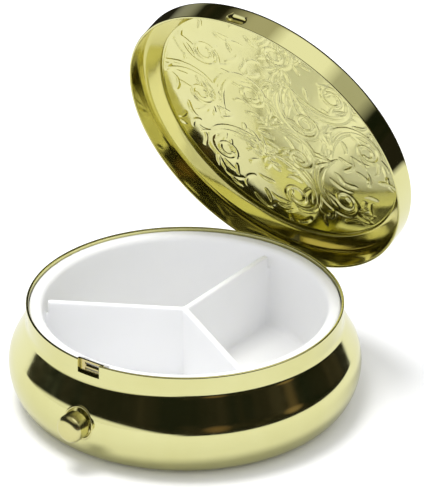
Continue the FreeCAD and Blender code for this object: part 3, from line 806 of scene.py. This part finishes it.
def scroll(height, x, y, middle_x, middle_y, way, hand, size, leaves, rng):
    """A stem that winds into a spiral, with fans of curved leaves along its outer side."""
    xs, ys, turns = path(0, 0, way, 23 * size, hand * 5 / size, hand * 66 / size, 90)
    xs += middle_x - xs[-1]
    ys += middle_y - ys[-1]
    part = np.linspace(0, 1, len(xs))
    widths = (0.12 + 0.36 * np.minimum(part * 5, 1) - 0.2 * part) * size
    emboss(height, x, y, xs, ys, widths, RELIEF_DEEP)
    emboss(height, x, y, xs[-2:], ys[-2:], np.array([0.4, 0.4]) * size, RELIEF_DEEP)
    side_x, side_y = -np.sin(np.radians(turns)), np.cos(np.radians(turns))
    for number in (1, 2):
        apart = -hand * 0.85 * number * np.clip(1 - part / (0.85 - 0.15 * number), 0, 1) * size
        last = int(len(xs) * (0.82 - 0.15 * number))
        emboss(height, x, y, (xs + side_x * apart)[:last], (ys + side_y * apart)[:last],
               widths[:last] * 0.8, RELIEF_DEEP * 0.85)
    for n in range(leaves):
        at = int(len(xs) * (0.06 + 0.5 * n / (leaves - 1)))
        side = hand if n == 1 else -hand
        reach = (5.2 - 2.4 * n / leaves) * size * rng.uniform(0.9, 1.15)
        for lobe in range(3):
            lean = 10 + 24 * lobe + rng.uniform(-4, 4)
            lx, ly, _ = path(xs[at], ys[at], turns[at] + side * lean, reach * (1 - 0.18 * lobe),
                             side * 4, -side * rng.uniform(45, 75) / size, 22, 2.2)
            deep = RELIEF_DEEP * (0.9 - 0.1 * lobe)
            emboss(height, x, y, lx, ly, leaf_width(22, LEAF_WIDE * size), deep)


def relief(x, y):
    rng = random.Random(7)
    height = np.zeros_like(x)
    for middle_x, middle_y, way, hand, size, leaves in SCROLLS:
        scroll(height, x, y, middle_x, middle_y, way, hand, size, leaves, rng)
    for n in range(CURLS):
        turn = n * CURL_TURN
        reach = CURL_REACH * math.sqrt((n + 0.5) / CURLS)
        cx, cy = reach * math.cos(turn), reach * math.sin(turn)
        if height[np.hypot(x - cx, y - cy) < 0.8].mean() > RELIEF_DEEP * 0.2:
            continue
        bend = rng.choice((-1, 1)) * rng.uniform(25, 60)
        lx, ly, _ = path(cx, cy, rng.uniform(0, 360), rng.uniform(2.4, 4.4), bend * 0.2, bend, 18)
        emboss(height, x, y, lx, ly, leaf_width(18, LEAF_WIDE), RELIEF_DEEP * 0.8)
    edge = np.hypot(x, y)
    return height * np.clip((RELIEF_EDGE - edge) / RELIEF_FADE, 0, 1)


def painted_ridge_shade(x, y, height):
    """Painted shade: dark lines, broken, along the lower left side of each ridge, where shade would
    fall.
    """
    xi, xj = np.gradient(x)
    yi, yj = np.gradient(y)
    hi, hj = np.gradient(height)
    area = xi * yj - xj * yi
    area = np.where(np.abs(area) < 1e-6, 1e-6, area)
    slope_x = (hi * yj - hj * yi) / area
    slope_y = (hj * xi - hi * xj) / area
    slope = 0.8 * slope_x + 0.6 * slope_y
    broken = 0.75 + 0.6 * np.sin(1.9 * x + 0.7 * y) * np.sin(0.8 * x - 1.7 * y)
    return np.clip((slope - 0.36) / 0.2, 0, 1) * np.clip(broken, 0, 1)


def make_panel():
    x, y = disc_grid(CELLS, FIELD_RADIUS)
    raised = relief(x, -y)
    # painted shade for the lower left flank of each ridge, kept on the relief's points
    shade = painted_ridge_shade(x, -y, raised)
    dome = DOME_RISE * (1 - (x ** 2 + y ** 2) / FIELD_RADIUS ** 2)
    count = CELLS + 1
    flat_x, flat_y = x.ravel(), y.ravel()
    under = FIELD_HEIGHT + dome.ravel() + raised.ravel()
    points = [(a, b, c) for a, b, c in zip(flat_x, flat_y, under)]
    points += [(a, b, c + RING_THICK) for a, b, c in zip(flat_x, flat_y, under)]
    side = count * count
    faces = []
    for i in range(CELLS):
        for j in range(CELLS):
            a = i * count + j
            b = a + count
            faces.append([a, a + 1, b + 1, b])
            faces.append([side + a, side + b, side + b + 1, side + a + 1])
    edge = list(range(CELLS))
    edge += [i * count + CELLS for i in range(CELLS)]
    edge += [CELLS * count + CELLS - j for j in range(CELLS)]
    edge += [(CELLS - i) * count for i in range(CELLS)]
    above = RING_THICK + 0.02
    rings = [(PANEL_BEND, ledge_at(PANEL_BEND, above)),
             (PANEL_RADIUS, ledge_at(PANEL_RADIUS, above))]
    low_loop, high_loop = edge, [side + n for n in edge]
    for radius, height in rings:
        loops = []
        for lift in (0, RING_THICK):
            start = len(points)
            for n in edge:
                turn = math.atan2(flat_y[n], flat_x[n])
                points.append((radius * math.cos(turn), radius * math.sin(turn), height + lift))
            loops.append([start + k for k in range(len(edge))])
        for before, after in ((low_loop, loops[0]), (high_loop, loops[1])):
            for k in range(len(edge)):
                m = (k + 1) % len(edge)
                faces.append([before[k], before[m], after[m], after[k]])
        low_loop, high_loop = loops
    for k in range(len(edge)):
        m = (k + 1) % len(edge)
        faces.append([low_loop[k], low_loop[m], high_loop[m], high_loop[k]])
    piece = mesh_piece("relief_panel", points, faces, sharp=75.0, merge=False)
    values = np.zeros(len(points), dtype=np.float32)
    values[:side] = shade.ravel()
    store(piece, "ridge_shade", values)
    open_lid(piece)
    finish_with(piece, embossed)
    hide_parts("lid_panel")
    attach(piece, "lid")


make_panel()

# ------------------------------------------------------------------ tray

VOXEL = 0.2


def apply_modifiers(piece):
    graph = bpy.context.evaluated_depsgraph_get()
    mesh = bpy.data.meshes.new_from_object(piece.evaluated_get(graph))
    piece.modifiers.clear()
    piece.data = mesh


def plain_block(name, corners, low, high):
    points = [(x, y, low) for x, y in corners] + [(x, y, high) for x, y in corners]
    count = len(corners)
    faces = [list(range(count))[::-1], list(range(count, count * 2))]
    for n in range(count):
        m = (n + 1) % count
        faces.append([n, m, count + m, count + n])
    return mesh_piece(name, points, faces)


def turned_solid(name, outline, columns):
    """A solid turned from a closed outline that starts and ends on the axis."""
    points = [(0, 0, outline[0][1]), (0, 0, outline[-1][1])]
    middle = outline[1:-1]
    for radius, height in middle:
        for n in range(columns):
            turn = 2 * math.pi * n / columns
            points.append((radius * math.cos(turn), radius * math.sin(turn), height))
    faces = []
    for n in range(columns):
        m = (n + 1) % columns
        faces.append([0, 2 + m, 2 + n])
        last = 2 + (len(middle) - 1) * columns
        faces.append([1, last + n, last + m])
        for row in range(len(middle) - 1):
            a = 2 + row * columns
            b = a + columns
            faces.append([a + n, a + m, b + m, b + n])
    return mesh_piece(name, points, faces)


def make_tray():
    under = FLANGE_TOP - FLANGE_THICK
    skirt = WELL_DEEP + TRAY_WALL
    round_in = 0.75
    edge = 0.18
    floor_round = 0.7
    wall_turn = math.atan2(WELL_RADIUS - WELL_DEEP, FLANGE_TOP - WELL_FLOOR)
    outline = joined(
        [(0, TRAY_BOTTOM), (WELL_DEEP, TRAY_BOTTOM), (WELL_DEEP, SHEET), (skirt, SHEET)],
        [(WELL_RADIUS + TRAY_WALL, under)],
        arc((FLANGE_RADIUS - edge, under + edge), edge, -math.pi / 2, 0, 4),
        arc((FLANGE_RADIUS - edge, FLANGE_TOP - edge), edge, 0, math.pi / 2, 4),
        arc((WELL_RADIUS + round_in, FLANGE_TOP - round_in), round_in, math.pi / 2,
            math.pi - wall_turn, 8),
        arc((WELL_DEEP - floor_round, WELL_FLOOR + floor_round), floor_round, 0,
            -math.pi / 2, 5),
        [(0, WELL_FLOOR)],
    )
    tray = turned_solid("tray", outline, 200)
    tools = []
    half = DIVIDER_THICK / 2
    for n in range(3):
        turn = math.pi / 2 + n * 2 * math.pi / 3
        ahead = Vector((math.cos(turn), math.sin(turn)))
        aside = Vector((-ahead.y, ahead.x)) * half
        far = ahead * (WELL_DEEP + 0.35)
        corners = [-aside, far - aside, far + aside, aside]
        block = plain_block(f"divider_{n}", [tuple(c) for c in corners],
                            TRAY_BOTTOM + 0.3, DIVIDER_TOP)
        tools.append((block, "UNION"))
    relief_cut = [(-RELIEF_HALF, -25), (RELIEF_HALF, -25), (RELIEF_HALF, -RELIEF_REACH),
                  (-RELIEF_HALF, -RELIEF_REACH)]
    tools.append((plain_block("relief_cut", relief_cut, -1, NECK_TOP + 1), "DIFFERENCE"))
    for tool, kind in tools:
        cut = tray.modifiers.new(kind.lower(), "BOOLEAN")
        cut.operation = kind
        cut.solver = "EXACT"
        cut.object = tool
    remesh = tray.modifiers.new("remesh", "REMESH")
    remesh.mode = "VOXEL"
    remesh.voxel_size = VOXEL * MM
    smooth = tray.modifiers.new("smooth", "SMOOTH")
    smooth.iterations = 6
    smooth.factor = 0.5
    apply_modifiers(tray)
    for tool, _ in tools:
        bpy.data.objects.remove(tool)
    for face in tray.data.polygons:
        face.use_smooth = True
    finish_with(tray, tray_white)
    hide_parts("pill_tray")
    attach(tray, "base")


make_tray()

# ------------------------------------------------------------------ floor, world and lights


# how far the metal sees the pale sheet, in metres, with the width of its soft end
FLOOR_SEEN = 0.13
FLOOR_SOFT = 0.012
# the side on which the sheet goes on, with the half angle where it starts and stops fading
OPEN_SIDE = -123.7
OPEN_HALF = math.radians(61)
OPEN_FADED = math.radians(71)
SHEET_SEEN = (0.73, 0.73, 0.73)
PAST_SHEET = (0.012, 0.011, 0.008)
ROOM_DIM = [(0.35, (0.008, 0.011, 0.006)), (0.55, (0.022, 0.019, 0.011)),
            (0.75, (0.05, 0.042, 0.028))]
AMBIENT = (0.92, 0.93, 0.96)
# colour, azimuth, elevation, radius and soft edge of each patch, in degrees
ROOM = [
    ((0.5, 0.48, 0.4), 0, 88, 40, 10),
    ((0.55, 0.55, 0.52), 36.3, 42, 22, 5),
    ((1.1, 1.1, 1.08), 36.3, 70, 20, 5),
    ((0.25, 0.17, 0.09), 18.3, 10, 5, 3),
    ((0.16, 0.1, 0.05), -33.7, 10, 6, 4),
    ((0.3, 0.3, 0.3), 148.3, 12, 8, 5),
    ((1.0, 1.0, 1.0), -115.7, -59, 70.5, 2.5),
]


def heading(azimuth, elevation):
    a, e = math.radians(azimuth), math.radians(elevation)
    return (math.cos(a) * math.cos(e), math.sin(a) * math.cos(e), math.sin(e))


def arithmetic(tree, kind, first, second=None):
    """A number from vectors: a length, or how far one lies along a fixed one."""
    node = tree.nodes.new("ShaderNodeVectorMath")
    node.operation = kind
    tree.links.new(first, node.inputs[0])
    if second is not None:
        node.inputs[1].default_value = second
    return node.outputs["Value"]


def combined(tree, kind, first, second):
    """Two numbers put together by one operation."""
    node = tree.nodes.new("ShaderNodeMath")
    node.operation = kind
    tree.links.new(first, node.inputs[0])
    tree.links.new(second, node.inputs[1])
    return node.outputs["Value"]


def make_floor():
    radius = 5000
    points = [(0, 0, 0)]
    for n in range(96):
        turn = 2 * math.pi * n / 96
        points.append((radius * math.cos(turn), radius * math.sin(turn), 0))
    faces = [[0, 1 + n, 1 + (n + 1) % 96] for n in range(96)]
    floor = mesh_piece("floor", points, faces)
    material, tree, shader, place = new_material("floor_white")
    cloud = noise(tree, place, 8.0, 2.0)
    shade = ramp(tree, cloud, [(0.3, (0.95, 0.95, 0.95)), (0.7, (0.96, 0.96, 0.96))])
    # what the metal reflects: the sheet ends a short way off, except towards the front left
    away = arithmetic(tree, "LENGTH", place)
    past = span(tree, away, 0.0, 1.0, FLOOR_SEEN - FLOOR_SOFT, FLOOR_SEEN + FLOOR_SOFT)
    side = arithmetic(tree, "DOT_PRODUCT", place, heading(OPEN_SIDE, 0))
    narrow = combined(tree, "DIVIDE", side, away)
    closed = span(tree, narrow, 1.0, 0.0, math.cos(OPEN_FADED), math.cos(OPEN_HALF))
    glossy = tree.nodes.new("ShaderNodeLightPath").outputs["Is Glossy Ray"]
    dark = combined(tree, "MULTIPLY", combined(tree, "MULTIPLY", past, closed), glossy)
    seen = mixed(tree, glossy, shade, SHEET_SEEN)
    tree.links.new(mixed(tree, dark, seen, PAST_SHEET), shader.inputs["Base Color"])
    shader.inputs["Roughness"].default_value = 0.9
    shader.inputs["Specular IOR Level"].default_value = 0.0
    finish_with(floor, material)


def glow(tree, place, colour, azimuth, elevation, reach, soft, under):
    """A round patch of light in the room, laid over what is under it."""
    facing = arithmetic(tree, "DOT_PRODUCT", place, heading(azimuth, elevation))
    low = math.cos(math.radians(reach + soft))
    high = math.cos(math.radians(max(0.0, reach - soft)))
    inside = span(tree, facing, 0.0, 1.0, low, high)
    return mixed(tree, inside, under, colour)


def make_world():
    """Soft white all round for matt surfaces; a dim room for what polished metal reflects."""
    world = bpy.data.worlds.new("world")
    bpy.context.scene.world = world
    world.use_nodes = True
    tree = world.node_tree
    backdrop = tree.nodes["Background"]
    place = tree.nodes.new("ShaderNodeTexCoord").outputs["Generated"]
    cloud = noise(tree, place, 3.5, 4.0, 0.6)
    room = ramp(tree, cloud, ROOM_DIM)
    for patch in ROOM:
        room = glow(tree, place, *patch, room)
    ways = tree.nodes.new("ShaderNodeLightPath")
    pick = mixed(tree, ways.outputs["Is Glossy Ray"], AMBIENT, room)
    tree.links.new(pick, backdrop.inputs["Color"])
    backdrop.inputs["Strength"].default_value = 1.0


def make_sun(name, azimuth, elevation, strength, spread, colour):
    data = bpy.data.lights.new(name, "SUN")
    data.energy = strength
    data.angle = math.radians(spread)
    data.color = colour
    sun = bpy.data.objects.new(name, data)
    a, e = math.radians(azimuth), math.radians(elevation)
    ahead = Vector((math.sin(a) * math.cos(e), -math.cos(a) * math.cos(e), math.sin(e)))
    sun.rotation_mode = "QUATERNION"
    sun.rotation_quaternion = ahead.to_track_quat("Z", "Y")
    sun.visible_glossy = False
    bpy.context.scene.collection.objects.link(sun)


make_floor()
make_world()
make_sun("key_light", -72, 79, 1.9, 26, (1.0, 0.995, 0.98))
bpy.context.scene.view_settings.view_transform = "Standard"
